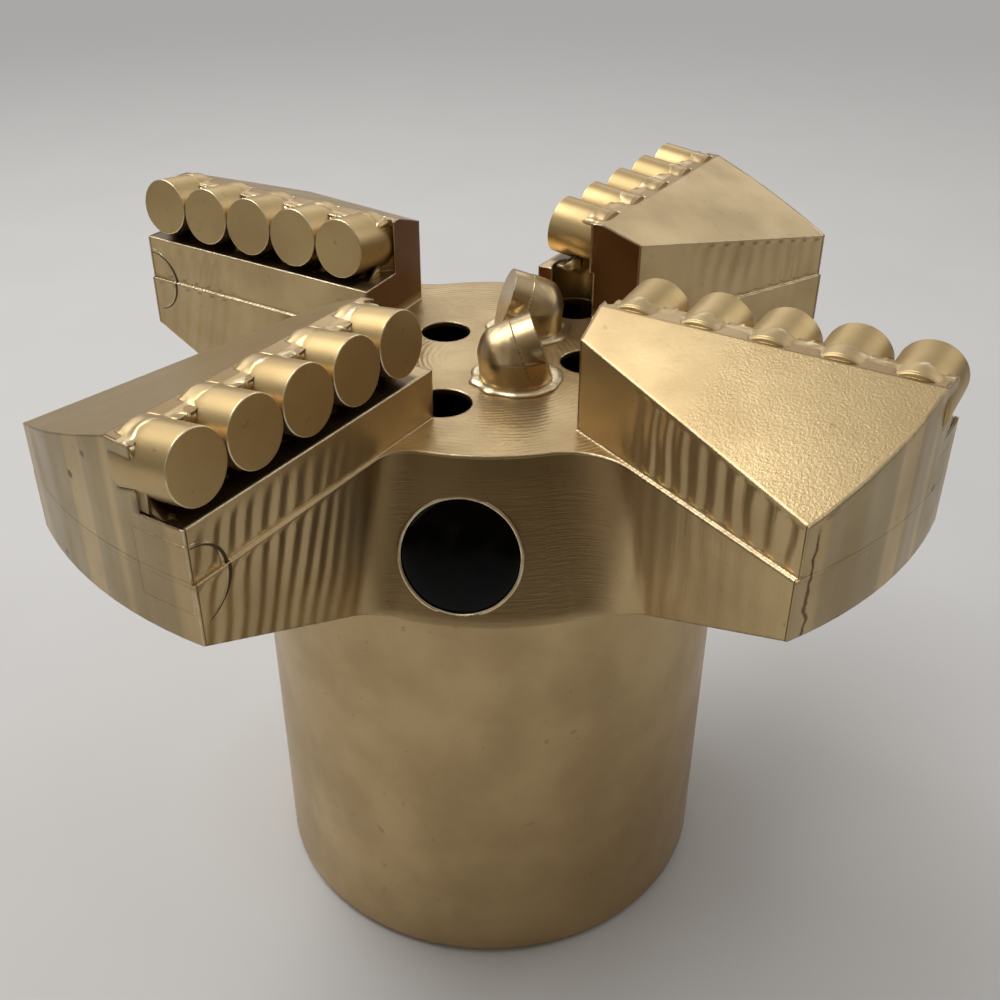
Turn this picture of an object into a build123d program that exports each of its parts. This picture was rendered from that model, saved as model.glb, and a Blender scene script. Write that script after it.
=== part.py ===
"""PDC drill bit: one milled steel body with four wedge blades, carbide compacts in pockets,
two stud cutters on the face and a plug in the side port of each junk slot."""
import os
from math import atan2, cos, degrees, radians, sin, tan

from build123d import *

os.makedirs("parts", exist_ok=True)

# Overall sizes, millimetres. Z runs up the bit's axis from the shank's bottom face.
gauge_d = 200.0
shank_d = 110.0
shank_h = 101.0
slot_height = 34.3
slot_face_r = 45.0
arm_rise = 21.9
shank_bevel = 1.5

# Blades: local X runs out along a row of cutters, local Y leads in the turning direction.
blade_count = 4
row_turn = 58.2
lead_y = 5.5
inner_x = 30.2
inner_width = 25.3
inner_skew = 6.1
wedge_angle = 24.7
lip_rise = 10.7
lip_width = 9.5
land_rise = 12.5
land_width = 6.2
top_fall = 19.8
corner_cut = 3.2
ledge = 0.6
slot_lead_corner_r = 8.0
slot_trail_corner_r = 14.0

# Carbide compacts.
cutter_d = 13.44
cutter_length = 13.2
cutters_per_blade = 5
cutter_pitch = 13.75
row_inset = 6.3
face_setback = 1.2
cutter_lift = 1.58
back_rake = 6.8
gauge_cutter_drop = 9.8
gauge_cutter_length = 12.0
gauge_inset = 0.5

# Stud cutters on the face, one on each side of the axis.
stud_r = 7.0
stud_depth = 9.0
stud_rise = 8.3
disc_thickness = 4.5
disc_offset = 5.1
disc_rake = 20.0
front_stud = (5.6, -10.5, 5.0)
back_stud = (8.4, 15.5, 185.0)

# Waterways: threaded box below, chamber above it, four jets in the face, four side ports.
box_r = 38.0
box_depth = 76.0
box_bevel = 3.0
chamber_r = 26.0
face_thickness = 22.3
jets = ((-10.7, 13.7, 11.5), (-10.1, -22.6, 13.0), (21.7, -2.3, 12.5), (20.5, 27.3, 12.0))
jet_overrun = 0.5
port_turn = 25.4
port_drop = 20.0
port_d = 24.4
port_depth = 9.0
port_throat_d = 13.0
plug_recess = 2.2
plug_bevel = 0.8

gauge_r = gauge_d / 2
shank_r = shank_d / 2
quarter = 360 / blade_count
face_z = shank_h + slot_height
lip_z = face_z + lip_rise
land_z = lip_z + land_rise
cutter_z = lip_z + cutter_lift + cutter_d / 2
gauge_cutter_z = lip_z - gauge_cutter_drop
stud_tip_z = face_z + stud_rise
chamber_top = face_z - face_thickness
port_z = face_z - port_drop
jet_mouth_z = lip_z + jet_overrun
overrun = 6.0
slot_slope = degrees(atan2(shank_r - slot_face_r, slot_height))
TO_FACE = (Align.CENTER, Align.CENTER, Align.MAX)
ON_BASE = (Align.CENTER, Align.CENTER, Align.MIN)


def slot_radius(z):
    """Radius of the sloped wall of the junk slots at a height."""
    return slot_face_r + (face_z - z) * tan(radians(slot_slope))


def along(start, angle, length):
    """Point at a distance from another, in a direction given in degrees."""
    return (start[0] + length * cos(radians(angle)), start[1] + length * sin(radians(angle)))


def blade_corners(offset):
    """Inner leading, inner trailing, outer trailing and outer leading corners in plan."""
    lead = (inner_x - offset, lead_y + offset)
    trail = along(lead, inner_skew - quarter, inner_width + 2 * offset)
    return lead, trail, along(trail, -wedge_angle, gauge_d), (gauge_d, lead_y + offset)


def turned_solid(points):
    """Full turn of a half profile, given as radius and height, about the bit's axis."""
    profile = make_face(Polyline(*[(r, 0, z) for r, z in points], close=True))
    return revolve(profile, Axis.Z, 360)


def body_blank():
    """Shank, spreading underside of the arms and the gauge cylinder up to the face."""
    return turned_solid([
        (0, 0),
        (shank_r - shank_bevel, 0),
        (shank_r, shank_bevel),
        (shank_r, shank_h),
        (gauge_r, shank_h + arm_rise),
        (gauge_r, face_z),
        (0, face_z),
    ])


def slot_section(z):
    """Plan of the junk slot after a blade: two arm sides, a round wall and rounded corners."""
    lead, _, _, lead_far = blade_corners(ledge)
    _, trail, trail_far, _ = blade_corners(ledge)
    heading = quarter - wedge_angle
    start = (-trail[1], trail[0])
    run = (lead[1] - start[1]) / sin(radians(heading))
    apex = along(start, heading, run)
    outline = Polyline(apex, lead_far, (gauge_d, gauge_d), along(apex, heading, 1.5 * gauge_d), close=True)
    section = make_face(outline) - Circle(slot_radius(z))
    at_lead, at_trail = section.vertices().sort_by_distance((0, 0, 0))[:2].sort_by(Axis.Y)
    section = fillet(at_trail, slot_trail_corner_r)
    at_lead = section.vertices().sort_by_distance(at_lead.center())[0]
    return Pos(0, 0, z) * fillet(at_lead, slot_lead_corner_r)


def junk_slot():
    """Volume milled away between two arms, down to the shank."""
    return loft([slot_section(shank_h - overrun), slot_section(face_z + overrun)], ruled=True)


def blade():
    """Wedge blade on its arm: sloped top, land, and a lip below the cutters."""
    lead, trail, trail_far, lead_far = blade_corners(0)
    plan = extrude(make_face(Polyline(lead, trail, trail_far, lead_far, close=True)), gauge_d)
    lip_y = lead_y - lip_width
    land_y = lip_y - land_width
    back_y = -gauge_r / 2
    fall = (land_y - back_y) * tan(radians(top_fall))
    section = Polyline(
        (0, back_y, face_z - 1),
        (0, lead_y, face_z - 1),
        (0, lead_y, lip_z),
        (0, lip_y, lip_z),
        (0, lip_y, land_z),
        (0, land_y, land_z),
        (0, back_y, land_z - fall),
        close=True,
    )
    wedge = extrude(make_face(section), gauge_d, dir=(1, 0, 0)) & plan
    corner_at = along(lead, inner_skew - quarter, lip_width)
    corner = Pos(*corner_at, lip_z) * Rot(0, 0, 45)
    wedge -= corner * Box(corner_cut * 2**0.5, 3 * corner_cut, 2 * (land_z - lip_z), align=ON_BASE)
    return wedge & Cylinder(gauge_r, 2 * gauge_d)


def cutter_seat(index):
    """Location of one cutter's face centre, with Z pointing out of the face."""
    out = (0, cos(radians(back_rake)), sin(radians(back_rake)))
    from_gauge = row_inset + (cutters_per_blade - 1 - index) * cutter_pitch
    origin = (gauge_r - from_gauge, lead_y - face_setback, cutter_z)
    return Plane(origin=origin, x_dir=(1, 0, 0), z_dir=out)


def row_cutter(index):
    """Carbide compact, seated by its back half in the blade."""
    return cutter_seat(index) * Cylinder(cutter_d / 2, cutter_length, align=TO_FACE)


def gauge_cutter():
    """Compact let into the leading side, ground flush with the gauge."""
    origin = (gauge_r - gauge_inset, lead_y, gauge_cutter_z)
    seat = Plane(origin=origin, x_dir=(1, 0, 0), z_dir=(0, 1, 0))
    return seat * Cylinder(cutter_d / 2, gauge_cutter_length, align=TO_FACE) & Cylinder(gauge_r, gauge_d * 2)


def stud_disc_seat(stud):
    """Plane of a stud's cutting face, leaning back from its azimuth."""
    x, y, azimuth = stud
    origin = (*along((x, y), azimuth, disc_offset), stud_tip_z)
    level = along((0, 0), azimuth, cos(radians(disc_rake)))
    return Plane(origin=origin, z_dir=(*level, sin(radians(disc_rake))))


def stud_blank(stud):
    """Round stud with a domed head, before the seat for its disc is milled."""
    x, y, _ = stud
    height = stud_tip_z - face_z + stud_depth
    post = Pos(x, y, face_z - stud_depth) * Cylinder(stud_r, height, align=ON_BASE)
    return post + Pos(x, y, stud_tip_z) * Sphere(stud_r)


def stud_disc(stud):
    """Cutting disc on the stud's milled seat."""
    return stud_disc_seat(stud) * Cylinder(cutter_d / 2, disc_thickness, align=TO_FACE)


def stud_post(stud):
    """Stud with its head milled off square behind the disc."""
    seat = stud_disc_seat(stud).offset(-disc_thickness)
    milled = seat * Box(6 * stud_r, 6 * stud_r, 3 * stud_r, align=ON_BASE)
    above_face = Pos(0, 0, face_z) * Box(gauge_d, gauge_d, gauge_d, align=ON_BASE)
    return stud_blank(stud) - (milled & above_face)


def port_seat():
    """Mouth of a side port: square to the sloped wall of the junk slot."""
    radius = slot_radius(port_z)
    rise = radians(slot_slope)
    origin = (*along((0, 0), port_turn, radius), port_z)
    out = (*along((0, 0), port_turn, cos(rise)), sin(rise))
    return Plane(origin=origin, z_dir=out)


def port_cut():
    """Counterbore for the plug and the throat that leads to the chamber."""
    above = Cylinder(port_d / 2, port_depth, align=ON_BASE)
    below = Cylinder(port_d / 2, port_depth, align=TO_FACE)
    throat = Cylinder(port_throat_d / 2, slot_face_r, align=TO_FACE)
    return port_seat() * (above + below + throat)


def port_plug():
    """Plug seated below the port's rim, with a bevelled outer edge."""
    plug = Cylinder(port_d / 2, port_depth - plug_recess, align=TO_FACE)
    plug = chamfer(plug.edges().group_by(Axis.Z)[-1], plug_bevel)
    return port_seat().offset(-plug_recess) * plug


def waterways():
    """Box bore from below, chamber above it and the jets in the face."""
    cut = turned_solid([
        (0, 0),
        (box_r + box_bevel, 0),
        (box_r, box_bevel),
        (box_r, box_depth),
        (chamber_r, box_depth + (box_r - chamber_r) / 2),
        (chamber_r, chamber_top),
        (0, chamber_top),
    ])
    for x, y, diameter in jets:
        cut += Pos(x, y, box_depth) * Cylinder(diameter / 2, jet_mouth_z - box_depth, align=ON_BASE)
    return cut


def blade_turns():
    """Azimuth of each blade's cutter row."""
    return [row_turn + k * quarter for k in range(blade_count)]


def bit_body():
    """The whole milled body, with a pocket for each piece that is let into it."""
    body = body_blank()
    for turn in blade_turns():
        body -= Rot(0, 0, turn) * junk_slot()
    one_blade = blade()
    for turn in blade_turns():
        body += Rot(0, 0, turn) * one_blade
    body -= waterways()
    for turn in blade_turns():
        body -= Rot(0, 0, turn) * port_cut()
        body -= Rot(0, 0, turn) * gauge_cutter()
        for index in range(cutters_per_blade):
            body -= Rot(0, 0, turn) * row_cutter(index)
    for stud in (front_stud, back_stud):
        x, y, _ = stud
        body -= Pos(x, y, face_z - stud_depth) * Cylinder(stud_r, 2 * stud_depth, align=ON_BASE)
    return body


def export(shape, name):
    """One STEP file per piece, named after its node."""
    solid = shape.solids()[0]
    solid.label = name
    export_step(solid, f"parts/{name}.step")
    print(name, len(shape.solids()), round(solid.volume, 1))


export(bit_body(), "bit_body")
for number, turn in enumerate(blade_turns(), 1):
    place = Rot(0, 0, turn)
    for index in range(cutters_per_blade):
        export(place * row_cutter(index), f"cutter_{number}_{index + 1}")
    export(place * gauge_cutter(), f"gauge_cutter_{number}")
    export(place * port_plug(), f"port_plug_{number}")
for side, stud in (("front", front_stud), ("back", back_stud)):
    export(stud_post(stud), f"stud_{side}")
    export(stud_disc(stud), f"stud_disc_{side}")
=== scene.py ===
import math

import bmesh
import bpy
import numpy as np
from mathutils import Euler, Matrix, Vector


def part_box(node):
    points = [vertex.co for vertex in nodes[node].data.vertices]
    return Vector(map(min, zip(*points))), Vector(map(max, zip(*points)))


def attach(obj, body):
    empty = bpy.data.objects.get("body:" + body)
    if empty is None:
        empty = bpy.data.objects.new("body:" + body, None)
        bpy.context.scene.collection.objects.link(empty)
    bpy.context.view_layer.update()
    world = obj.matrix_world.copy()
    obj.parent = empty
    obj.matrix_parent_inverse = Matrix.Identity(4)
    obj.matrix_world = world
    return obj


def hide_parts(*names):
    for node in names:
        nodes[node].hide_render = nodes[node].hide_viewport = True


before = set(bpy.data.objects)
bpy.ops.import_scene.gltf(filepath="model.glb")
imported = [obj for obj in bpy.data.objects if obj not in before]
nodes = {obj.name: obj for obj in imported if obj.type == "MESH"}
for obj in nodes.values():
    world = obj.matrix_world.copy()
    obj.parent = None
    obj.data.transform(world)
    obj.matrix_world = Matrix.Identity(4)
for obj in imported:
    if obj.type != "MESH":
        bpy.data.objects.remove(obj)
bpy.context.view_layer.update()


# Driving places, read from the frame

def centre(name):
    low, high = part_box(name)
    return np.array((low + high) / 2)


def nodeNames(start):
    return sorted(name for name in nodes if name.startswith(start))


def towards(angle):
    return np.array((math.cos(angle), math.sin(angle), 0.0))


mm = 0.001
up = np.array((0.0, 0.0, 1.0))
blades = (1, 2, 3, 4)
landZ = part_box("bit_body")[1].z
rowStart, rowEnd = centre("cutter_1_1"), centre("cutter_1_5")
rowAngle = math.atan2(rowEnd[1] - rowStart[1], rowEnd[0] - rowStart[0])
cutterR = 6.72 * mm
faceZ = landZ - 23.2 * mm  # flat face, below the blades' land
lipZ = landZ - 12.5 * mm  # lip below each row of cutters
gaugeR = 100 * mm
leadV = 5.5 * mm  # leading side of a blade, across its row line
rake = math.radians(6.8)  # lean of the row cutters


def bladeAxes(blade):
    angle = rowAngle + (blade - 1) * math.pi / 2
    return towards(angle), towards(angle + math.pi / 2)


# Camera

def makeCamera():
    setup = {
        "target": (0.00223, 0, 0.0972), "distance": 0.28817,
        "elevation": 32.05, "lens": 42.79, "roll": 0.29,
    }
    tilt = math.radians(setup["elevation"])
    back = Vector((0, -math.cos(tilt), math.sin(tilt)))
    data = bpy.data.cameras.new("camera")
    data.lens = setup["lens"]
    data.sensor_width = 36
    data.clip_start = 0.01
    camera = bpy.data.objects.new("camera", data)
    camera.location = Vector(setup["target"]) + setup["distance"] * back
    camera.rotation_mode = "QUATERNION"
    level = Euler((math.pi / 2 - tilt, 0, 0)).to_quaternion()
    roll = Euler((0, 0, math.radians(setup["roll"]))).to_quaternion()
    camera.rotation_quaternion = level @ roll
    bpy.context.collection.objects.link(camera)
    bpy.context.scene.camera = camera


makeCamera()
bpy.context.scene.view_settings.view_transform = "Standard"
print("camera made")


# Shader building

def node(tree, kind, **values):
    made = tree.nodes.new(kind)
    made.location = (200 * (len(tree.nodes) % 12), -220 * (len(tree.nodes) // 12))
    for key, value in values.items():
        setattr(made, key, value)
    return made


def feed(tree, socket, value):
    if isinstance(value, bpy.types.NodeSocket):
        tree.links.new(value, socket)
    else:
        socket.default_value = value


def calc(tree, operation, *values):
    made = node(tree, "ShaderNodeMath", operation=operation)
    for socket, value in zip(made.inputs, values):
        feed(tree, socket, value)
    return made.outputs[0]


def times(tree, first, second):
    return calc(tree, "MULTIPLY", first, second)


def ramp(tree, value, low, high, start=0.0, end=1.0):
    made = node(tree, "ShaderNodeMapRange", interpolation_type="SMOOTHSTEP")
    feed(tree, made.inputs["Value"], value)
    made.inputs["From Min"].default_value = low
    made.inputs["From Max"].default_value = high
    made.inputs["To Min"].default_value = start
    made.inputs["To Max"].default_value = end
    return made.outputs["Result"]


def noise(tree, vector, scale, detail=4.0):
    made = node(tree, "ShaderNodeTexNoise")
    feed(tree, made.inputs["Vector"], vector)
    made.inputs["Scale"].default_value = scale
    made.inputs["Detail"].default_value = detail
    return made.outputs["Fac"]


def blend(tree, factor, first, second, kind="MIX"):
    made = node(tree, "ShaderNodeMix", data_type="RGBA", blend_type=kind)
    feed(tree, made.inputs["Factor"], factor)
    feed(tree, made.inputs[6], first)
    feed(tree, made.inputs[7], second)
    return made.outputs[2]


def group(name, inputs, outputs):
    tree = bpy.data.node_groups.new(name, "ShaderNodeTree")
    for label, kind in inputs:
        tree.interface.new_socket(label, in_out="INPUT", socket_type=kind)
    for label, kind in outputs:
        tree.interface.new_socket(label, in_out="OUTPUT", socket_type=kind)
    return tree, node(tree, "NodeGroupInput").outputs, node(tree, "NodeGroupOutput").inputs


def use(tree, made, **values):
    call = node(tree, "ShaderNodeGroup", node_tree=made)
    for label, value in values.items():
        feed(tree, call.inputs[label], value)
    return call.outputs


def bladeFrameGroup():
    # Folds all four blades on one: Row runs out along its cutters, Lead across, Height up, in mm.
    tree, given, out = group(
        "bladeFrame",
        [("Position", "NodeSocketVector")],
        [("Row", "NodeSocketFloat"), ("Lead", "NodeSocketFloat"), ("Height", "NodeSocketFloat")],
    )
    parts = node(tree, "ShaderNodeSeparateXYZ")
    tree.links.new(given["Position"], parts.inputs[0])
    x, y, z = parts.outputs
    turned = calc(tree, "SUBTRACT", calc(tree, "ARCTAN2", y, x), rowAngle)
    whole = calc(tree, "ROUND", calc(tree, "DIVIDE", turned, math.pi / 2))
    folded = calc(tree, "SUBTRACT", turned, times(tree, whole, math.pi / 2))
    square = calc(tree, "ADD", times(tree, x, x), times(tree, y, y))
    radius = times(tree, calc(tree, "SQRT", square), 1000.0)
    tree.links.new(times(tree, radius, calc(tree, "COSINE", folded)), out["Row"])
    tree.links.new(times(tree, radius, calc(tree, "SINE", folded)), out["Lead"])
    tree.links.new(times(tree, z, 1000.0), out["Height"])
    return tree


def millRipplesGroup():
    # Waves left by the mill: height = sin(2 pi * place / pitch), slanted before a blade, upright behind it.
    shape = {
        "frontPitch": 4.4, "backPitch": 4.2, "slant": 0.32, "wander": 5.0,
        "ledge": 135.3, "crest": 162.17, "fall": 0.36, "clear": (0.4, 1.6),
        "frontLead": (3.5, 5.3), "frontTop": (145.5, 142.0), "frontRow": (52.0, 66.0),
        "patchy": (0.35, 0.6, 0.35, 1.0), "backLead": (-14.0, -18.0),
        "backFoot": (135.5, 136.5, 0.12, 1.0), "backRow": (44.0, 58.0), "backEnd": (97.0, 90.0),
    }
    tree, given, out = group(
        "millRipples",
        [("Position", "NodeSocketVector"), ("Row", "NodeSocketFloat"), ("Lead", "NodeSocketFloat"),
         ("Height", "NodeSocketFloat")],
        [("Bump Height", "NodeSocketFloat")],
    )
    row, lead, height = given["Row"], given["Lead"], given["Height"]
    drift = times(tree, noise(tree, given["Position"], 45.0, 1.0), shape["wander"])
    slanted = calc(tree, "ADD", calc(tree, "MULTIPLY_ADD", height, shape["slant"], row), drift)
    front = calc(tree, "SINE", times(tree, slanted, 2 * math.pi / shape["frontPitch"]))
    upright = calc(tree, "ADD", row, drift)
    behind = calc(tree, "SINE", times(tree, upright, 2 * math.pi / shape["backPitch"]))
    frontMask = times(tree, ramp(tree, lead, *shape["frontLead"]), ramp(tree, height, *shape["frontTop"]))
    frontMask = times(tree, frontMask, ramp(tree, row, *shape["frontRow"]))
    offLedge = calc(tree, "ABSOLUTE", calc(tree, "SUBTRACT", height, shape["ledge"]))
    frontMask = times(tree, frontMask, ramp(tree, offLedge, *shape["clear"]))
    patchy = noise(tree, given["Position"], 30.0, 1.0)
    frontMask = times(tree, frontMask, ramp(tree, patchy, *shape["patchy"]))
    slope = calc(tree, "MULTIPLY_ADD", lead, shape["fall"], shape["crest"])
    below = calc(tree, "SUBTRACT", slope, height)
    backMask = times(tree, ramp(tree, lead, *shape["backLead"]), ramp(tree, below, *shape["clear"]))
    backMask = times(tree, backMask, ramp(tree, height, *shape["backFoot"]))
    backMask = times(tree, backMask, ramp(tree, row, *shape["backRow"]))
    backMask = times(tree, backMask, ramp(tree, row, *shape["backEnd"]))
    both = calc(tree, "ADD", times(tree, front, frontMask), times(tree, behind, backMask))
    tree.links.new(both, out["Bump Height"])
    return tree


def faceRingsGroup():
    # Turning marks on the flat face: height = sin(2 pi * radius / pitch), only near the face's height.
    shape = {"pitch": 1.25, "low": 134.9, "high": 135.7, "rings": 0.22}
    tree, given, out = group(
        "faceRings",
        [("Position", "NodeSocketVector"), ("Row", "NodeSocketFloat"), ("Lead", "NodeSocketFloat"),
         ("Height", "NodeSocketFloat")],
        [("Bump Height", "NodeSocketFloat")],
    )
    square = times(tree, given["Lead"], given["Lead"])
    radius = calc(tree, "SQRT", calc(tree, "MULTIPLY_ADD", given["Row"], given["Row"], square))
    wobble = times(tree, noise(tree, given["Position"], 80.0, 3.0), 3.0)
    uneven = calc(tree, "ADD", radius, wobble)
    wave = calc(tree, "SINE", times(tree, uneven, 2 * math.pi / shape["pitch"]))
    near = ramp(tree, given["Height"], shape["low"] - 0.2, shape["low"])
    near = times(tree, near, ramp(tree, given["Height"], shape["high"] + 0.2, shape["high"]))
    grains = times(tree, noise(tree, given["Position"], 260.0, 3.0), 3.0)
    both = calc(tree, "ADD", times(tree, wave, shape["rings"]), grains)
    tree.links.new(times(tree, both, near), out["Bump Height"])
    return tree


def brushGroup():
    # Fine brushed lines: noise stretched along the sloped slot walls and down the outer faces.
    shape = {
        "along": 0.12, "fine": 3.2, "top": (134.5, 128.0), "foot": (100.0, 104.0),
        "beside": 2.0, "down": 0.09, "outer": (56.0, 64.0),
    }
    tree, given, out = group(
        "brush",
        [("Row", "NodeSocketFloat"), ("Lead", "NodeSocketFloat"), ("Height", "NodeSocketFloat")],
        [("Bump Height", "NodeSocketFloat")],
    )
    across = node(tree, "ShaderNodeCombineXYZ")
    feed(tree, across.inputs[0], times(tree, given["Row"], shape["along"]))
    feed(tree, across.inputs[1], times(tree, given["Lead"], shape["along"]))
    feed(tree, across.inputs[2], times(tree, given["Height"], shape["fine"]))
    level = noise(tree, across.outputs[0], 1.0, 5.0)
    level = times(tree, level, ramp(tree, given["Height"], *shape["top"]))
    level = times(tree, level, ramp(tree, given["Height"], *shape["foot"]))
    down = node(tree, "ShaderNodeCombineXYZ")
    feed(tree, down.inputs[0], times(tree, given["Row"], shape["beside"]))
    feed(tree, down.inputs[1], times(tree, given["Lead"], shape["beside"]))
    feed(tree, down.inputs[2], times(tree, given["Height"], shape["down"]))
    upright = noise(tree, down.outputs[0], 1.0, 4.0)
    upright = times(tree, upright, ramp(tree, given["Row"], *shape["outer"]))
    tree.links.new(calc(tree, "ADD", level, upright), out["Bump Height"])
    return tree


def paintGroup():
    # Sprayed gold: cloudy colour, roughness that follows it, and bare bright metal on the given edges, which
    # stands for edge wear and a painted highlight.
    look = {
        "cloud": 55.0, "speck": 420.0, "fine": 1100.0, "coarse": 170.0,
        "dull": (0.25, 0.16, 0.07, 1), "fleck": (0.20, 0.12, 0.05, 1),
        "dulled": (0.32, 0.7, 0.32, 0.0), "flecked": (0.66, 0.76, 0.0, 0.35),
        "bare": (0.38, 0.56, 0.55, 1.0), "uneven": (0.3, 0.7, 0.05, -0.03), "polish": 0.08,
    }
    tree, given, out = group(
        "paint",
        [("Position", "NodeSocketVector"), ("Colour", "NodeSocketColor"), ("Worn", "NodeSocketColor"),
         ("Smooth", "NodeSocketFloat"), ("Edge", "NodeSocketFloat")],
        [("Base Color", "NodeSocketColor"), ("Roughness", "NodeSocketFloat"),
         ("Bump Height", "NodeSocketFloat")],
    )
    cloud = noise(tree, given["Position"], look["cloud"], 6.0)
    speck = noise(tree, given["Position"], look["speck"], 3.0)
    dull = blend(tree, ramp(tree, cloud, *look["dulled"]), given["Colour"], look["dull"])
    mixed = blend(tree, ramp(tree, speck, *look["flecked"]), dull, look["fleck"])
    # Edge wear and painted highlight: bright metal colour laid along the given edges.
    wearAndHighlight = times(tree, given["Edge"], ramp(tree, speck, *look["bare"]))
    tree.links.new(blend(tree, wearAndHighlight, mixed, given["Worn"]), out["Base Color"])
    rough = calc(tree, "ADD", given["Smooth"], ramp(tree, cloud, *look["uneven"]))
    tree.links.new(calc(tree, "SUBTRACT", rough, times(tree, wearAndHighlight, look["polish"])), out["Roughness"])
    fine = times(tree, noise(tree, given["Position"], look["fine"], 3.0), 0.10)
    coarse = noise(tree, given["Position"], look["coarse"], 3.0)
    tree.links.new(calc(tree, "MULTIPLY_ADD", coarse, 0.35, fine), out["Bump Height"])
    return tree


bladeFrame = bladeFrameGroup()
millRipples = millRipplesGroup()
faceRings = faceRingsGroup()
brush = brushGroup()
paint = paintGroup()
print("shader groups made")


# Materials

gold = (0.56, 0.415, 0.215, 1)
bright = (0.86, 0.74, 0.50, 1)
# Painted shade: near-black colour for gaps where shade falls.
paintedShadeColour = (0.05, 0.025, 0.01, 1)


def startMaterial(name):
    material = bpy.data.materials.new(name)
    material.use_nodes = True
    tree = material.node_tree
    coord = node(tree, "ShaderNodeTexCoord")
    return material, tree, tree.nodes["Principled BSDF"], coord.outputs["Object"]


def softEdge(tree, radius, low, high):
    # Worn edges and a painted edge highlight: where the rounded normal leaves the true one by more than a
    # little.
    rounded = node(tree, "ShaderNodeBevel", samples=6)
    rounded.inputs["Radius"].default_value = radius
    flat = node(tree, "ShaderNodeNewGeometry")
    turn = node(tree, "ShaderNodeVectorMath", operation="DOT_PRODUCT")
    tree.links.new(rounded.outputs[0], turn.inputs[0])
    tree.links.new(flat.outputs["True Normal"], turn.inputs[1])
    return rounded.outputs[0], ramp(tree, turn.outputs["Value"], high, low)


def finishMaterial(tree, shader, painted, height, normal, distance, strength):
    bump = node(tree, "ShaderNodeBump")
    bump.inputs["Strength"].default_value = strength
    bump.inputs["Distance"].default_value = distance
    feed(tree, bump.inputs["Height"], height)
    feed(tree, bump.inputs["Normal"], normal)
    tree.links.new(painted["Roughness"], shader.inputs["Roughness"])
    tree.links.new(bump.outputs[0], shader.inputs["Normal"])
    shader.inputs["Metallic"].default_value = 0.9


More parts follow.
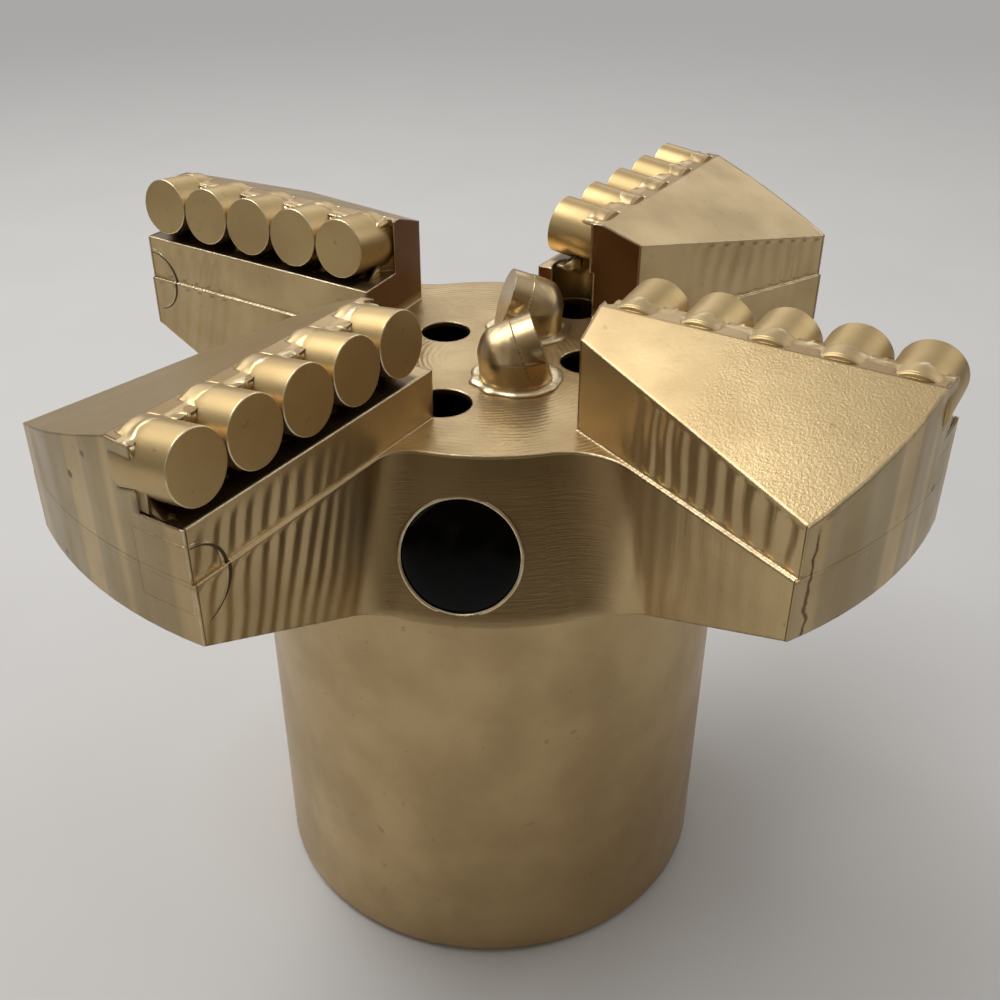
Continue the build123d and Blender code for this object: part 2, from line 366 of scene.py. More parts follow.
def bodyMaterial():
    look = {
        "inner": (0.15, 0.058, 0.02, 1), "inside": (0.006, 0.005, 0.004, 1), "land": (0.30, 0.19, 0.08, 1),
        "low": (0.40, 0.25, 0.11, 1), "rust": (0.10, 0.035, 0.015, 1), "end": (0.30, 0.25, 0.15, 1),
        "wall": (0.20, 0.12, 0.045, 1), "seat": (0.04, 0.02, 0.008, 1),
        # Where each mask starts and ends (mm, mm squared, X and Y in m), then its values if not 0 and 1
        "innerFace": (31.4, 31.0), "overFace": (135.8, 138.0), "onLand": (158.38, 158.45),
        "alongLand": (32.0, 80.0, 0.3, 0.9), "rightward": (-0.03, 0.055, 0.0, 0.65),
        "downward": (100.0, 20.0), "slot": (3500.0, 2900.0), "slotTop": (135.25, 134.6),
        "slotFoot": (101.2, 103.5, 0.0, 0.7), "lip": (145.8, 145.92), "lipTop": (150.0, 147.5),
        "lipFront": (5.2, 4.7), "lipBack": (-6.0, -4.2), "lipInner": (34.0, 36.0, 0.0, 0.85),
        "gauge": (9860.0, 9920.0), "band": (0.44, 0.50, 0.0, 0.6), "pit": (0.10, 0.04),
        "rightX": (0.03, 0.04), "rightY": (-0.03, -0.05), "line": (0.55, 0.15),
        "lineTop": (146.0, 142.0), "seamShade": (5.1, 4.6, 0.0, 0.95), "ledgeLow": (133.8, 134.4),
        "ledgeHigh": (136.8, 136.2), "leading": (4.0, 4.8), "leftX": (0.0, -0.02),
        "leftY": (0.0, -0.02, 0.0, 0.8), "bore": (1640.0, 1500.0), "boreTop": (134.9, 133.6),
    }
    material, tree, shader, place = startMaterial("goldBody")
    local = use(tree, bladeFrame, Position=place)
    row, lead, height = local["Row"], local["Lead"], local["Height"]
    same = {"Position": place, "Row": row, "Lead": lead, "Height": height}
    normal, edge = softEdge(tree, 0.0007, 0.80, 0.985)
    # Painted shade: the blades' inner end faces are coloured dark red-brown.
    slanted = calc(tree, "MULTIPLY_ADD", lead, 0.107, row)
    inner = times(tree, ramp(tree, slanted, *look["innerFace"]), ramp(tree, height, *look["overFace"]))
    square = calc(tree, "MULTIPLY_ADD", row, row, times(tree, lead, lead))
    # Painted shade: the land on top of the blades is coloured darker, more so further out.
    land = ramp(tree, height, *look["onLand"])
    land = times(tree, land, ramp(tree, row, *look["alongLand"]))
    parts = node(tree, "ShaderNodeSeparateXYZ")
    tree.links.new(place, parts.inputs[0])
    # Painted shade: the lower right of the body is coloured a darker brown.
    rightward = ramp(tree, parts.outputs[0], *look["rightward"])
    shadedLowRight = times(tree, rightward, ramp(tree, height, *look["downward"]))
    tone = blend(tree, times(tree, inner, 0.95), gold, look["inner"])
    tone = blend(tree, land, tone, look["land"])
    # Painted shade: the slot walls between the blades are coloured darker.
    wall = times(tree, ramp(tree, square, *look["slot"]), ramp(tree, height, *look["slotTop"]))
    wall = times(tree, wall, ramp(tree, height, *look["slotFoot"]))
    tone = blend(tree, wall, tone, look["wall"])
    # Painted shade: the lip under each row of cutters is coloured near black.
    seat = times(tree, ramp(tree, height, *look["lip"]), ramp(tree, height, *look["lipTop"]))
    onLip = times(tree, ramp(tree, lead, *look["lipFront"]), ramp(tree, lead, *look["lipBack"]))
    seat = times(tree, times(tree, seat, onLip), ramp(tree, row, *look["lipInner"]))
    tone = blend(tree, seat, tone, look["seat"])
    strips = node(tree, "ShaderNodeCombineXYZ")
    feed(tree, strips.inputs[0], times(tree, lead, 0.075))
    bands = noise(tree, strips.outputs[0], 1.0, 2.0)
    onEnd = ramp(tree, square, *look["gauge"])
    tone = blend(tree, times(tree, onEnd, ramp(tree, bands, *look["band"])), tone, look["end"])
    tone = blend(tree, shadedLowRight, tone, look["low"])
    pits = node(tree, "ShaderNodeTexVoronoi")
    tree.links.new(place, pits.inputs["Vector"])
    pits.inputs["Scale"].default_value = 95.0
    rusty = times(tree, ramp(tree, pits.outputs["Distance"], *look["pit"]), onEnd)
    wander = calc(tree, "MULTIPLY_ADD", noise(tree, place, 130.0, 4.0), 5.0, lead)
    offLine = calc(tree, "ABSOLUTE", calc(tree, "ADD", wander, 41.0))
    onBlade = ramp(tree, parts.outputs[0], *look["rightX"])
    onBlade = times(tree, onBlade, ramp(tree, parts.outputs[1], *look["rightY"]))
    line = times(tree, ramp(tree, offLine, *look["line"]), times(tree, onEnd, onBlade))
    line = times(tree, line, ramp(tree, height, *look["lineTop"]))
    rusty = calc(tree, "MAXIMUM", rusty, line)
    # No bright edges (wear and painted highlight) along the seams on the outer faces, and little painted edge
    # highlight on the front ledge of the blade nearest.
    onSeams = times(tree, onEnd, ramp(tree, lead, *look["seamShade"]))
    edge = times(tree, edge, calc(tree, "SUBTRACT", 1.0, onSeams))
    onLedge = times(tree, ramp(tree, height, *look["ledgeLow"]), ramp(tree, height, *look["ledgeHigh"]))
    nearest = times(tree, ramp(tree, lead, *look["leading"]), ramp(tree, parts.outputs[0], *look["leftX"]))
    nearest = times(tree, nearest, ramp(tree, parts.outputs[1], *look["leftY"]))
    edge = times(tree, edge, calc(tree, "SUBTRACT", 1.0, times(tree, onLedge, nearest)))
    painted = use(tree, paint, Position=place, Colour=tone, Worn=bright, Smooth=0.34, Edge=edge)
    coat = blend(tree, times(tree, rusty, 0.85), painted["Base Color"], look["rust"])
    # Painted shade: the holes below the face are coloured near black inside.
    inside = times(tree, ramp(tree, square, *look["bore"]), ramp(tree, height, *look["boreTop"]))
    tree.links.new(blend(tree, inside, coat, look["inside"]), shader.inputs["Base Color"])
    ripples = use(tree, millRipples, **same)["Bump Height"]
    rings = use(tree, faceRings, **same)["Bump Height"]
    lines = use(tree, brush, Row=row, Lead=lead, Height=height)["Bump Height"]
    total = calc(tree, "MULTIPLY_ADD", ripples, 1.5, painted["Bump Height"])
    total = calc(tree, "MULTIPLY_ADD", rings, 0.45, total)
    total = calc(tree, "MULTIPLY_ADD", lines, 0.40, total)
    total = calc(tree, "MULTIPLY_ADD", times(tree, bands, onEnd), 9.0, total)
    total = calc(tree, "MULTIPLY_ADD", rusty, -0.7, total)
    finishMaterial(tree, shader, painted, total, normal, 0.00016, 0.85)
    return material


def pieceMaterial(name, colour, smooth, distance, metal=0.92):
    # Gold with painted light and shade: attribute shade is 1 on bright rims (wear and painted highlight), -1
    # where shade is painted dark, 0 elsewhere.
    material, tree, shader, place = startMaterial(name)
    shade = node(tree, "ShaderNodeAttribute", attribute_name="shade").outputs["Fac"]
    edge = ramp(tree, shade, 0.1, 0.9)
    painted = use(tree, paint, Position=place, Colour=colour, Worn=bright, Smooth=smooth, Edge=edge)
    # Painted shade: where shade nears -1 the colour goes near black.
    dark = ramp(tree, shade, -0.1, -0.9)
    coat = blend(tree, dark, painted["Base Color"], paintedShadeColour)
    tree.links.new(coat, shader.inputs["Base Color"])
    rounded = node(tree, "ShaderNodeBevel", samples=4)
    rounded.inputs["Radius"].default_value = 0.0002
    finishMaterial(tree, shader, painted, painted["Bump Height"], rounded.outputs[0], distance, 0.8)
    shader.inputs["Metallic"].default_value = metal
    return material


def plugMaterial():
    # Black glossy plug: faint dust and shallow ripples in the gloss.
    look = {
        "black": (0.0012, 0.0012, 0.0013, 1), "dust": (0.005, 0.0047, 0.0043, 1), "dusty": (0.5, 0.8),
        "gloss": (0.3, 0.8, 0.05, 0.14), "mirror": 0.16, "ripple": 90.0,
    }
    material, tree, shader, place = startMaterial("blackPlug")
    dust = noise(tree, place, 260.0, 4.0)
    coat = blend(tree, ramp(tree, dust, *look["dusty"]), look["black"], look["dust"])
    tree.links.new(coat, shader.inputs["Base Color"])
    feed(tree, shader.inputs["Roughness"], ramp(tree, dust, *look["gloss"]))
    shader.inputs["Specular IOR Level"].default_value = look["mirror"]
    bump = node(tree, "ShaderNodeBump")
    bump.inputs["Strength"].default_value = 0.25
    bump.inputs["Distance"].default_value = 0.0002
    feed(tree, bump.inputs["Height"], noise(tree, place, look["ripple"], 2.0))
    tree.links.new(bump.outputs[0], shader.inputs["Normal"])
    return material


goldBody = bodyMaterial()
goldCutter = pieceMaterial("goldCutter", (0.56, 0.405, 0.19, 1), 0.40, 0.00010)
goldStud = pieceMaterial("goldStud", (0.64, 0.49, 0.28, 1), 0.30, 0.00010)
goldBraze = pieceMaterial("goldBraze", (0.58, 0.43, 0.225, 1), 0.38, 0.00016)
# Painted shadow: a near-black material for the grooves by the gauge cutters.
paintedShadeDark = pieceMaterial("paintedShadeDark", (0.05, 0.028, 0.012, 1), 0.6, 0.00010, 0.3)
blackPlug = plugMaterial()
print("materials made")


# Mesh building

def lumps(x, y, seed, size):
    # Smooth uneven height: sum of eight sines in seeded directions, each with a wavelength near size.
    rng = np.random.default_rng(seed)
    total = np.zeros(np.broadcast(x, y).shape)
    turns = rng.uniform(0, math.pi, 8)
    starts = rng.uniform(0, 2 * math.pi, 8)
    stretches = rng.uniform(0.6, 1.6, 8)
    for turn, start, stretch in zip(turns, starts, stretches):
        total += np.sin(2 * math.pi * (x * math.cos(turn) + y * math.sin(turn)) / (size * stretch) + start)
    return total / 8


def ringPiece(name, rings, material, shade=None, wrap=False):
    # Vertex (i, j) lies at rings[i, j]; faces join neighbours, columns close round, and ends are capped.
    rows, columns = rings.shape[:2]
    index = np.arange(rows * columns).reshape(rows, columns)
    first = index if wrap else index[:-1]
    second = np.roll(index, -1, 0) if wrap else index[1:]
    corners = [first, np.roll(first, -1, 1), np.roll(second, -1, 1), second]
    faces = np.stack(corners, -1).reshape(-1, 4).tolist()
    if not wrap:
        faces += [index[0][::-1].tolist(), index[-1].tolist()]
    mesh = bpy.data.meshes.new(name)
    mesh.from_pydata(rings.reshape(-1, 3).tolist(), [], faces)
    solid = bmesh.new()
    solid.from_mesh(mesh)
    bmesh.ops.recalc_face_normals(solid, faces=solid.faces)
    solid.to_mesh(mesh)
    solid.free()
    mesh.polygons.foreach_set("use_smooth", np.ones(len(mesh.polygons), bool))
    values = np.zeros((rows, columns), np.float32)
    if shade is not None:
        values[:] = shade
    mesh.attributes.new("shade", "FLOAT", "POINT").data.foreach_set("value", values.reshape(-1))
    mesh.materials.append(material)
    piece = bpy.data.objects.new(name, mesh)
    bpy.context.collection.objects.link(piece)
    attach(piece, "root")
    return piece


def plateRings(top, base):
    # Closed plate from a top grid and a base grid: their columns join into rings round the plate.
    return np.concatenate([top, base[:, ::-1]], axis=1)


# Row cutters: turned compacts with a fine chamfer round the face and uneven paint

def rowCutter(blade, place):
    # Turned about its axis: point = start - back * axis + (r + lumps) * (cos * out + sin * side).
    shape = {
        "r": (0.5, 0.95, 0.966, 0.972, 0.988, 0.997, 1.0, 1.0, 1.0, 1.0, 1.0, 1.0, 0.99, 0.97),
        "back": (0.0, 0.0, 0.0, 0.01, 0.07, 0.16, 0.26, 0.32, 0.42, 2.4, 7.0, 12.8, 13.0, 13.2),
        "shade": (0, 0, 0.1, 0.6, 0.9, 0.8, 0.2, 0, 0, 0, 0, 0, 0, 0),
        "length": 13.2, "sides": 72,
    }
    name = f"cutter_{blade}_{place}"
    out, lead = bladeAxes(blade)
    axis = math.cos(rake) * lead + math.sin(rake) * up
    side = np.cross(axis, out)
    start = centre(name) + axis * shape["length"] / 2 * mm
    around = np.linspace(0, 2 * math.pi, shape["sides"], endpoint=False)
    back = np.array(shape["back"])[:, None] * mm
    spread = np.array(shape["r"])[:, None] * cutterR * np.ones_like(around)
    spread = spread + lumps(np.cos(around) * 9, back * 1000, 10 * blade + place, 6) * 0.05 * mm
    rings = start - back[..., None] * axis
    rings = rings + spread[..., None] * (np.cos(around)[:, None] * out + np.sin(around)[:, None] * side)
    # Shade: bright on the chamfer rings, as edge wear and a painted highlight.
    shade = np.array(shape["shade"])[:, None]
    piece = ringPiece(f"compact_{blade}_{place}", rings, goldCutter, shade)
    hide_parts(name)


for blade in blades:
    for place in range(1, 6):
        rowCutter(blade, place)
print("row cutters made")


# Braze: height fields that bed each row of cutters into its blade

def cutterTop(blade, row, lead, sign):
    # Top (sign 1) or bottom (sign -1) of the cutters: axis +- sqrt(r^2 - (row - centre)^2) / cos(rake).
    out, across = bladeAxes(blade)
    height = np.full(np.broadcast(row, lead).shape, -sign * 1.0)
    for place in range(1, 6):
        middle = centre(f"cutter_{blade}_{place}")
        off = row - middle @ out
        inside = np.maximum(cutterR**2 - off**2, 0)
        axis = middle[2] + (lead - middle @ across) * math.tan(rake)
        found = np.where(inside > 0, axis + sign * np.sqrt(inside) / math.cos(rake), -sign * 1.0)
        height = np.maximum(height, found) if sign > 0 else np.minimum(height, found)
    return height


def smoothMax(a, b, soft):
    # The larger of two heights with a soft turn between: soft * ln(e^(a / soft) + e^(b / soft)).
    return soft * np.logaddexp(a / soft, b / soft)


def smoothStep(value, low, high):
    # 0 below low and 1 above high, or the other way round: t^2 * (3 - 2 t) between.
    t = np.clip((value - low) / (high - low), 0, 1)
    return t * t * (3 - 2 * t)


def bladePoint(blade, row, lead, height):
    # Point = row * out + lead * across + height * up, along the blade's own axes.
    out, across = bladeAxes(blade)
    return row[..., None] * out + lead[..., None] * across + height[..., None] * up


def brazeTop(blade):
    # Height over (row, lead) = soft maximum of land and cutter tops + lumps, fading out at front and back.
    shape = {
        "inner": 33.4, "outer": 99.75, "back": -12.2, "front": -1.8,
        "rows": 240, "columns": 44, "drop": 2.2,
        "raise": 0.24, "sink": 0.14, "fall": 7.5, "cover": 0.06, "soft": 0.16,
        "calm": 0.03, "lumpy": 0.22, "bare": 0.9, "slope": 19.8,
    }
    row, lead = np.meshgrid(
        np.linspace(shape["inner"], shape["outer"], shape["rows"]) * mm,
        np.linspace(shape["back"], shape["front"], shape["columns"]) * mm, indexing="ij",
    )
    row = np.minimum(row, np.sqrt((shape["outer"] * mm) ** 2 - lead**2))
    rough = lumps(row * 1000, lead * 1000, 30 + blade, 4.5)
    edge = lumps(row * 1000, lead * 0, 60 + blade, 5.0)
    top = cutterTop(blade, row, lead, 1)
    behind = smoothStep(lead, -9.9 * mm, -8.7 * mm)
    top = np.where(top > lipZ, landZ - 0.4 * mm + (top - landZ + 0.4 * mm) * behind, lipZ)
    forward = smoothStep(lead, -8.0 * mm, -6.5 * mm)
    fall = shape["fall"] * smoothStep(lead, (-3.8 + 0.3 * edge) * mm, -1.9 * mm)
    land = landZ + (shape["raise"] * forward - shape["sink"] - fall) * mm
    front = smoothStep(lead, -8.0 * mm, -5.5 * mm)
    height = smoothMax(land, top + shape["cover"] * mm, shape["soft"] * mm)
    height = height + (shape["calm"] + shape["lumpy"] * front) * mm * rough
    fade = smoothStep(lead, (-5.6 + 1.3 * edge) * mm, (-3.6 + 1.0 * edge) * mm)
    onCutter = smoothStep(top, landZ - 4 * mm, landZ - 1.5 * mm)
    height = height - fade * onCutter * shape["bare"] * mm
    rear = smoothStep(-lead, 9.8 * mm, 12.2 * mm)
    steep = math.tan(math.radians(shape["slope"]))
    slope = landZ - np.maximum(-lead - 10.2 * mm, 0) * steep - 0.25 * mm
    height = height * (1 - rear) + slope * rear
    height[0] = np.minimum(height[0], landZ - 1.2 * mm)
    rim = smoothStep(row, 97.3 * mm, 98.6 * mm)
    base = (np.minimum(height, landZ) - shape["drop"] * mm) * (1 - rim) + rim * (lipZ + 0.6 * mm)
    # Painted highlight: lumps near the front are coloured bright where they rise.
    shade = smoothStep(rough + 0.6 * edge, 0.0, 0.5) * 0.55 * front
    shade = np.concatenate([shade, np.zeros_like(shade)], axis=1)
    rings = plateRings(bladePoint(blade, row, lead, height), bladePoint(blade, row, lead, base))
    ringPiece(f"braze_top_{blade}", rings, goldBraze, shade)


def brazeBed(blade):
    # Height over (row, lead) = lip + (cutter undersides - lip) * fill + lumps, fill falling from 1 to 0.
    shape = {
        "inner": 33.4, "outer": 99.2, "back": -4.2, "front": 2.4, "rows": 220, "columns": 22,
        "cover": 0.5, "middle": 6.0, "limit": 6.5, "sink": 0.1, "lumpy": 0.18, "deep": 1.2,
    }
    row, lead = np.meshgrid(
        np.linspace(shape["inner"], shape["outer"], shape["rows"]) * mm,
        np.linspace(shape["back"], shape["front"], shape["columns"]) * mm, indexing="ij",
    )
    row = np.minimum(row, np.sqrt((shape["outer"] * mm) ** 2 - lead**2))
    edge = lumps(row * 1000, lead * 0, 90 + blade, 6.0)
    rough = lumps(row * 1000, lead * 1000, 120 + blade, 3.5)
    under = np.minimum(cutterTop(blade, row, lead, -1) + shape["cover"] * mm, lipZ + shape["middle"] * mm)
    under = np.where(under < 0, lipZ + shape["middle"] * mm, under)
    fill = 1 - smoothStep(lead, (-3.2 + 1.0 * edge) * mm, (1.0 + 1.2 * edge) * mm)
    height = lipZ - shape["sink"] * mm + (under - lipZ) * fill + shape["lumpy"] * mm * rough
    height = np.minimum(height, lipZ + shape["limit"] * mm)
    base = np.full_like(height, lipZ - shape["deep"] * mm)
    # Painted shade: the bed is dark, and a painted highlight brightens the risen lumps.
    shade = 1.2 * smoothStep(rough, 0.05, 0.45) - 0.75
    shade = np.concatenate([shade, np.zeros_like(shade)], axis=1)
    rings = plateRings(bladePoint(blade, row, lead, height), bladePoint(blade, row, lead, base))
    ringPiece(f"braze_bed_{blade}", rings, goldBraze, shade)


for blade in blades:
    brazeTop(blade)
    brazeBed(blade)
print("braze made")


# Studs: a tilted round head behind each disc, run into an upright post

def studPost(side):
    # Point = heart + reached * way: reached is a soft maximum of head and post, cut off by disc and face.
    shape = {
        "post": 8.0, "head": 6.85, "round": 8.1, "behind": 4.5,
        "rake": 20.0, "soft": 0.6, "rows": 90, "columns": 144,
    }
    post, disc = centre(f"stud_{side}"), centre(f"stud_disc_{side}")
    level = (disc - post) * (1, 1, 0)
    level = level / np.linalg.norm(level)
    tilt = math.radians(shape["rake"])
    normal = math.cos(tilt) * level + math.sin(tilt) * up
    across = np.cross(up, level)
    axisX, axisY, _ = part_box(f"stud_{side}")[0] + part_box(f"stud_{side}")[1]
    reach = (disc - np.array((axisX / 2, axisY / 2, 0))) @ level
    heart = np.array((axisX / 2, axisY / 2, disc[2] - reach * math.tan(tilt)))
    front = (disc - heart) @ normal * 1000 + shape["behind"] / 2 - 0.12
    turn, rise = np.meshgrid(
        np.linspace(0, 2 * math.pi, shape["columns"], endpoint=False),
        np.linspace(-0.985, 0.9995, shape["rows"]) * math.pi / 2, indexing="xy",
    )
    way = (np.cos(rise) * np.cos(turn))[..., None] * level + (np.cos(rise) * np.sin(turn))[..., None] * across
    way = way + np.sin(rise)[..., None] * up
    along = way @ normal
    aside = np.sqrt(np.maximum(1 - along**2, 1e-6))
    # Head: cylinder about the disc's axis, round at the back, slightly thinner beside the disc.
    seat = front - shape["behind"]
    thin = smoothStep(shape["head"] * along / aside, seat + 0.05, seat + 0.25)
    roundBack = shape["round"] + 8.0 * np.maximum(along + 0.25, 0) ** 2
    head = -smoothMax(-(shape["head"] - 0.22 * thin) / aside, -roundBack, 0.45)
    # Post: cylinder below the heart, closing in above it.
    flat = np.sqrt(np.maximum(1 - np.sin(rise) ** 2, 1e-6))
    closing = shape["post"] * (1 - 0.55 * np.maximum(np.sin(rise), 0)) - 0.9 * np.maximum(along, 0)
    column = np.where(rise < 0, shape["post"] / flat, closing)
    reached = smoothMax(head, np.minimum(column, 60.0), shape["soft"])
    reached = np.minimum(reached, np.where(along > 0.02, front / np.maximum(along, 0.02), 99.0))
    floor = (heart[2] - faceZ) * 1000 + 0.6
    reached = np.minimum(reached, np.where(rise < -0.02, floor / np.maximum(-np.sin(rise), 0.02), 99.0))
    reached = reached + 0.06 * lumps(turn * 6, rise * 8, len(side), 3.0)
    rings = heart + reached[..., None] * mm * way
    # Painted shade: a dark line where the head meets the disc.
    seamShade = np.exp(-((reached * along - seat) / 0.12) ** 2) * (along > 0) * (rise > -0.4)
    piece = ringPiece(f"stud_post_{side}", rings, goldStud, -0.7 * seamShade)
    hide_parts(f"stud_{side}")
    return heart


def weldRing(side, heart):
    # Lumpy bead round the post: tube of radius tube * (1 + lumps) about a circle on the face.
    shape = {"ring": 8.6, "tube": 1.7, "flat": 0.55, "sides": 18, "columns": 200}
    turn, tube = np.meshgrid(
        np.linspace(0, 2 * math.pi, shape["columns"], endpoint=False),
        np.linspace(0, 2 * math.pi, shape["sides"], endpoint=False), indexing="ij",
    )
    rough = lumps(np.cos(turn) * 9, np.sin(turn) * 9, 5 + len(side), 6.0)
    thick = shape["tube"] * (1 + 0.45 * rough)
    radius = shape["ring"] + 0.5 * rough + thick * np.cos(tube)
    height = thick * shape["flat"] * np.sin(tube)
    x = heart[0] + radius * np.cos(turn) * mm
    y = heart[1] + radius * np.sin(turn) * mm
    z = faceZ + height * mm
    # Painted highlight: the upper half of the bead is coloured bright.
    shade = 0.9 * smoothStep(np.sin(tube), 0.1, 0.9)
    ringPiece(f"weld_ring_{side}", np.stack([x, y, z], -1), goldBraze, shade, wrap=True)


for side in ("front", "back"):
    weldRing(side, studPost(side))
print("studs made")


# Side ports: nearly flush domed plugs, each in a thin rim coloured bright as a painted highlight

def portCap(number):
    # Turned about its axis: point = mouth + bulge * axis + part * r * circle. The rim is a thin tube.
    shape = {"r": 12.35, "rise": 16.25, "outward": 5.6, "rim": 0.38, "sides": 120}
    name = f"port_plug_{number}"
    middle = centre(name)
    level = middle * (1, 1, 0) / math.hypot(middle[0], middle[1])
    tilt = math.radians(shape["rise"])
    axis = math.cos(tilt) * level + math.sin(tilt) * up
    across = np.cross(up, level)
    other = np.cross(axis, across)
    mouth = middle + shape["outward"] * mm * axis
    turn = np.linspace(0, 2 * math.pi, shape["sides"], endpoint=False)
    circle = np.cos(turn)[:, None] * across + np.sin(turn)[:, None] * other
    part = np.array((0.02, 0.2, 0.4, 0.6, 0.78, 0.9, 0.96, 0.99, 1.0, 1.0))
    bulge = np.array((-0.25, -0.26, -0.28, -0.32, -0.38, -0.46, -0.56, -0.7, -1.0, -3.0))
    rings = mouth + bulge[:, None, None] * mm * axis + part[:, None, None] * shape["r"] * mm * circle
    cap = ringPiece(f"port_cap_{number}", rings, blackPlug)
    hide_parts(name)
    turns, tube = np.meshgrid(turn, np.linspace(0, 2 * math.pi, 12, endpoint=False), indexing="ij")
    around = np.cos(turns)[..., None] * across + np.sin(turns)[..., None] * other
    rough = lumps(np.cos(turns) * 9, np.sin(turns) * 9, number, 5)
    radius = shape["r"] + 0.05 + shape["rim"] * np.cos(tube) + 0.08 * rough
    lift = (shape["rim"] * np.sin(tube) * 0.6 - 0.22)[..., None] * mm * axis
    rim = mouth + radius[..., None] * mm * around + lift
    # Painted highlight: the rim is coloured bright all round.
    ringPiece(f"port_rim_{number}", rim, goldBraze, 0.8 * np.ones(rim.shape[:2]), wrap=True)


for number in blades:
    portCap(number)
print("ports made")


# Gauge cutters: a painted shadow in a crescent groove on the leading face and a painted highlight on the
# lower rim

def crescent(name, blade, shape, material, shade):
    # Strip between two arcs round the gauge cutter: width = thin + wide * sin^2 over the span.
    out, lead = bladeAxes(blade)
    middle = centre(f"gauge_cutter_{blade}")
    heart = np.array((0, 0, middle[2] - shape["drop"] * mm)) + (gaugeR - 0.6 * mm) * out + leadV * lead
    part = np.linspace(0, 1, 90)
    turn = np.radians(shape["start"] + part * (shape["end"] - shape["start"]))
    rough = lumps(part * 30, part * 0, blade, 6)
    wide = shape["thin"] + shape["wide"] * np.sin(part * math.pi) ** 2 + 0.06 * rough
    inner = shape["r"] + np.zeros_like(part)
    arcs = []
    for radius, deep in ((inner, 0.0), (inner + wide, 0.0), (inner + wide, 0.6), (inner, 0.6)):
        arc = heart - radius[:, None] * mm * (np.cos(turn)[:, None] * out)
        arc = arc + radius[:, None] * mm * np.sin(turn)[:, None] * up
        stand = shape["proud"] - deep + 0.6 * smoothStep(faceZ - arc[:, 2], -0.25 * mm, 0.05 * mm)
        arcs.append(arc + stand[:, None] * mm * lead)
    ringPiece(name, np.stack(arcs, 1), material, shade)


for blade in blades:
    groove = {"r": 7.5, "thin": 0.2, "wide": 0.55, "start": -74, "end": 87, "proud": 0.04, "drop": 1.8}
    edge = {"r": 7.15, "thin": 0.06, "wide": 0.3, "start": -84, "end": 5, "proud": 0.05, "drop": 1.8}
    # Painted shadow in the groove, painted highlight on the lower rim.
    crescent(f"gauge_shadow_{blade}", blade, groove, paintedShadeDark, 0)
    crescent(f"gauge_highlight_{blade}", blade, edge, goldBraze, 0.9)
print("gauge seams made")


# Finishes of the nodes that stay

def assign(names, material):
    for name in names:
        mesh = nodes[name].data
        mesh.materials.clear()
        mesh.materials.append(material)


assign(["bit_body"] + nodeNames("gauge"), goldBody)
assign(nodeNames("cutter"), goldCutter)
assign(nodeNames("stud"), goldStud)
assign(nodeNames("port"), blackPlug)
print("nodes painted")


# Light, floor and background

def areaLamp(name, place, size, power, aim=(0, 0, 0.12)):
    data = bpy.data.lights.new(name, "AREA")
    data.shape = "RECTANGLE"
    data.size, data.size_y = size
    data.energy = power
    lamp = bpy.data.objects.new(name, data)
    lamp.location = place
    lamp.rotation_euler = (Vector(aim) - Vector(place)).to_track_quat("-Z", "Y").to_euler()
    bpy.context.collection.objects.link(lamp)


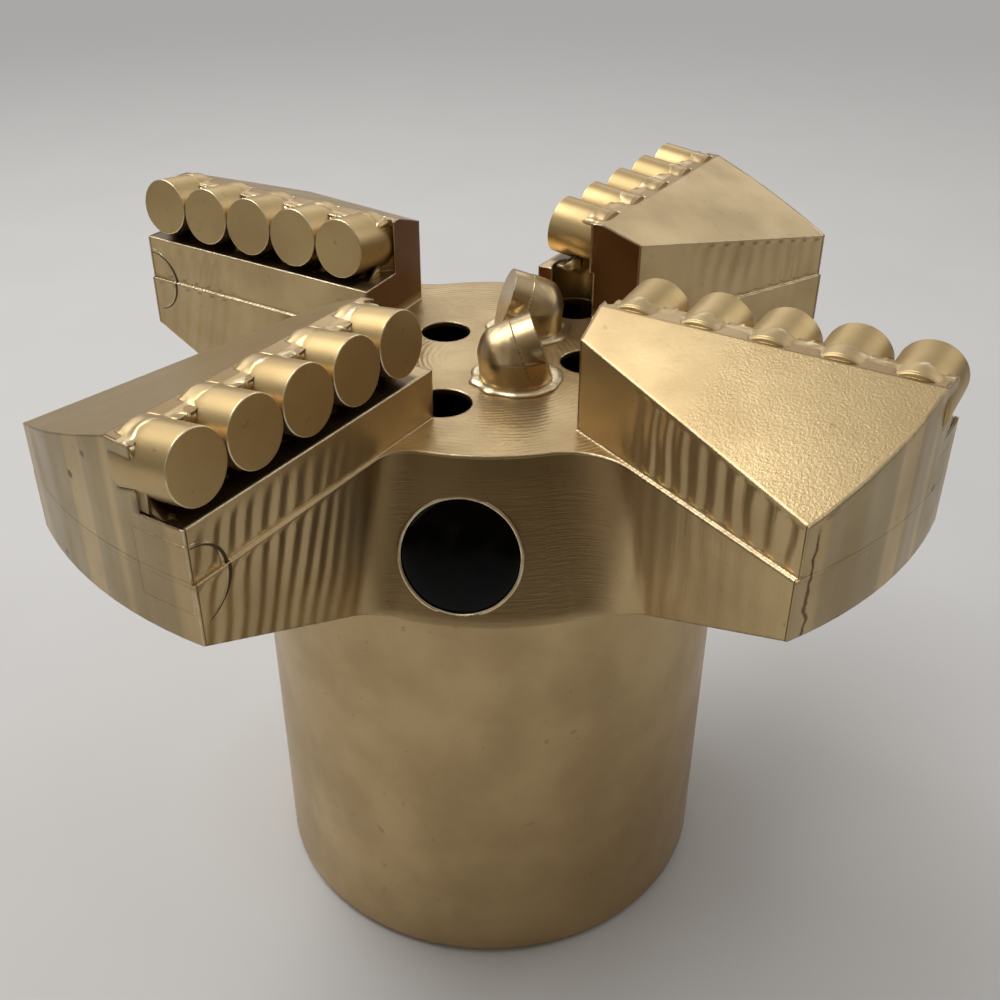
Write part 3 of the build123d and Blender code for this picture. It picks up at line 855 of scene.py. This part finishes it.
def makeWorld():
    look = {
        "seen": (0.42, 0.41, 0.40, 1), "low": (0.22, 0.21, 0.20, 1),
        "level": (0.50, 0.49, 0.47, 1), "high": (0.95, 0.95, 0.96, 1),
        "dim": (0.38, 0.29, 0.16, 1), "full": (1.0, 1.0, 1.0, 1),
    }
    world = bpy.data.worlds.new("studio")
    bpy.context.scene.world = world
    world.use_nodes = True
    tree = world.node_tree
    tree.nodes.clear()
    out = node(tree, "ShaderNodeOutputWorld")
    mixed = node(tree, "ShaderNodeMixShader")
    lit = node(tree, "ShaderNodeBackground")
    seen = node(tree, "ShaderNodeBackground")
    ray = node(tree, "ShaderNodeLightPath")
    coord = node(tree, "ShaderNodeTexCoord")
    parts = node(tree, "ShaderNodeSeparateXYZ")
    sky = node(tree, "ShaderNodeValToRGB")
    sky.color_ramp.elements[0].color = look["low"]
    sky.color_ramp.elements[1].color = look["high"]
    sky.color_ramp.elements.new(0.35).color = look["level"]
    tree.links.new(coord.outputs["Generated"], parts.inputs[0])
    tree.links.new(parts.outputs["Z"], sky.inputs[0])
    # The room is darker on the side that the front walls mirror.
    front = blend(tree, ramp(tree, parts.outputs["Y"], -0.75, -0.1), look["dim"], look["full"])
    tree.links.new(blend(tree, 1.0, sky.outputs[0], front, "MULTIPLY"), lit.inputs["Color"])
    seen.inputs["Color"].default_value = look["seen"]
    lit.inputs["Strength"].default_value = 0.55
    tree.links.new(ray.outputs["Is Camera Ray"], mixed.inputs[0])
    tree.links.new(lit.outputs[0], mixed.inputs[1])
    tree.links.new(seen.outputs[0], mixed.inputs[2])
    tree.links.new(mixed.outputs[0], out.inputs["Surface"])


def makeFloor():
    look = {
        "low": (0.56, 0.55, 0.54, 1), "high": (0.61, 0.60, 0.59, 1), "grain": 14.0,
        "fade": (0.30, 1.3), "behind": (0.40, 0.39, 0.38, 1),
    }
    bpy.ops.mesh.primitive_plane_add(size=6, location=(0, 0, -0.0002))
    floor = bpy.context.object
    floor.name = "floor"
    material, tree, shader, place = startMaterial("floorPaper")
    grain = noise(tree, place, look["grain"], 3.0)
    feed(tree, shader.inputs["Base Color"], blend(tree, grain, look["low"], look["high"]))
    feed(tree, shader.inputs["Roughness"], 0.8)
    # Far from the object the paper fades into the background that the camera sees.
    distance = node(tree, "ShaderNodeVectorMath", operation="LENGTH")
    tree.links.new(place, distance.inputs[0])
    far = ramp(tree, distance.outputs["Value"], *look["fade"])
    ray = node(tree, "ShaderNodeLightPath")
    glow = node(tree, "ShaderNodeEmission")
    glow.inputs["Color"].default_value = look["behind"]
    mixed = node(tree, "ShaderNodeMixShader")
    tree.links.new(times(tree, far, ray.outputs["Is Camera Ray"]), mixed.inputs[0])
    tree.links.new(shader.outputs[0], mixed.inputs[1])
    tree.links.new(glow.outputs[0], mixed.inputs[2])
    tree.links.new(mixed.outputs[0], tree.nodes["Material Output"].inputs["Surface"])
    floor.data.materials.append(material)


makeWorld()
makeFloor()
areaLamp("keyLamp", (-0.55, 0.25, 1.25), (1.0, 0.8), 12)
areaLamp("fillLamp", (-0.9, -0.9, 0.7), (0.9, 0.9), 1.3)
areaLamp("rightLamp", (1.1, 0.35, 0.85), (0.9, 0.8), 2.4)
areaLamp("backLamp", (0.0, 1.3, 0.8), (1.8, 0.5), 3.4)
print("light and floor made")
